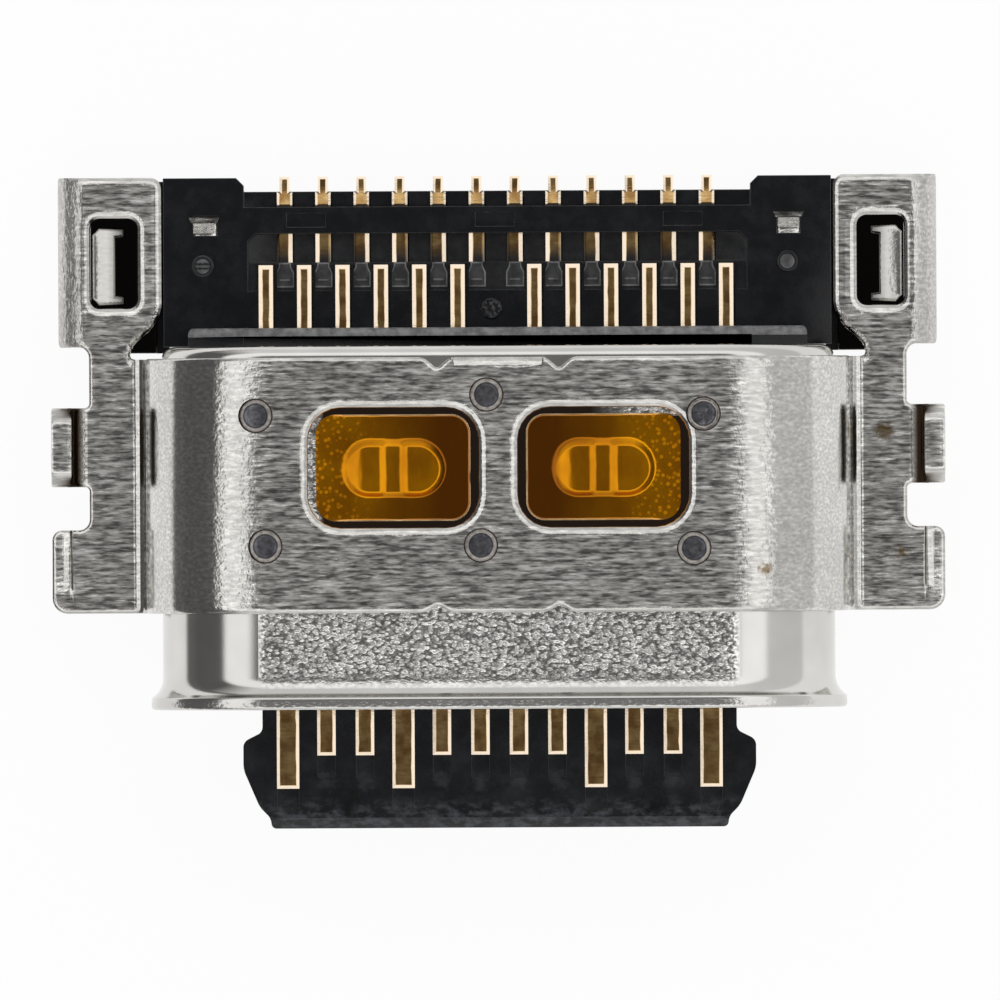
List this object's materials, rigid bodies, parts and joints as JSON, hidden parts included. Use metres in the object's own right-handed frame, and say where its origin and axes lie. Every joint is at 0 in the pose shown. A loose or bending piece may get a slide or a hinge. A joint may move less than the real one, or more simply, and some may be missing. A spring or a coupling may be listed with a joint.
{
  "type": "charging port",
  "caption": "Board-mounted reversible charging receptacle: winged steel bracket over a flanged shell, film-sealed windows, and gold contacts on a black tongue and rear housing.",
  "frame": {"origin": "middle of the plug mouth, on the plug axis, in the flange's front face", "axes": "+Y along the plug axis towards the solder tails, +X across the contact row, +Z towards the board that the wings and tails are soldered to"},
  "size_m": [0.0116, 0.0085, 0.0034],
  "materials": {
    "bracket_steel": "stamped stainless sheet, brushed flats, bright folds",
    "cover_steel": "stamped stainless sheet, satin",
    "shell_steel": "drawn stainless shell, bright sides, etched top",
    "amber_film": "glossy amber polyimide film",
    "housing_plastic": "moulded black plastic, satin",
    "tongue_plastic": "moulded black plastic, satin",
    "plate_steel": "stamped stainless sheet, satin",
    "contact_gold": "gold-plated copper alloy"
  },
  "bodies": {
    "root": {"outer_bracket": "bracket_steel", "lower_cover": "cover_steel", "inner_shell": "shell_steel", "film_left": "amber_film", "film_right": "amber_film", "rear_housing": "housing_plastic", "upper_wafer": "housing_plastic", "tongue": "tongue_plastic", "mid_plate": "plate_steel", "ground_plate_upper": "plate_steel", "ground_plate_lower": "plate_steel", "contact_a1": "contact_gold", "contact_a2": "contact_gold", "contact_a3": "contact_gold", "contact_a4": "contact_gold", "contact_a5": "contact_gold", "contact_a6": "contact_gold", "contact_a7": "contact_gold", "contact_a8": "contact_gold", "contact_a9": "contact_gold", "contact_a10": "contact_gold", "contact_a11": "contact_gold", "contact_a12": "contact_gold", "contact_b1": "contact_gold", "contact_b2": "contact_gold", "contact_b3": "contact_gold", "contact_b4": "contact_gold", "contact_b5": "contact_gold", "contact_b6": "contact_gold", "contact_b7": "contact_gold", "contact_b8": "contact_gold", "contact_b9": "contact_gold", "contact_b10": "contact_gold", "contact_b11": "contact_gold", "contact_b12": "contact_gold"}
  },
  "joints": []
}
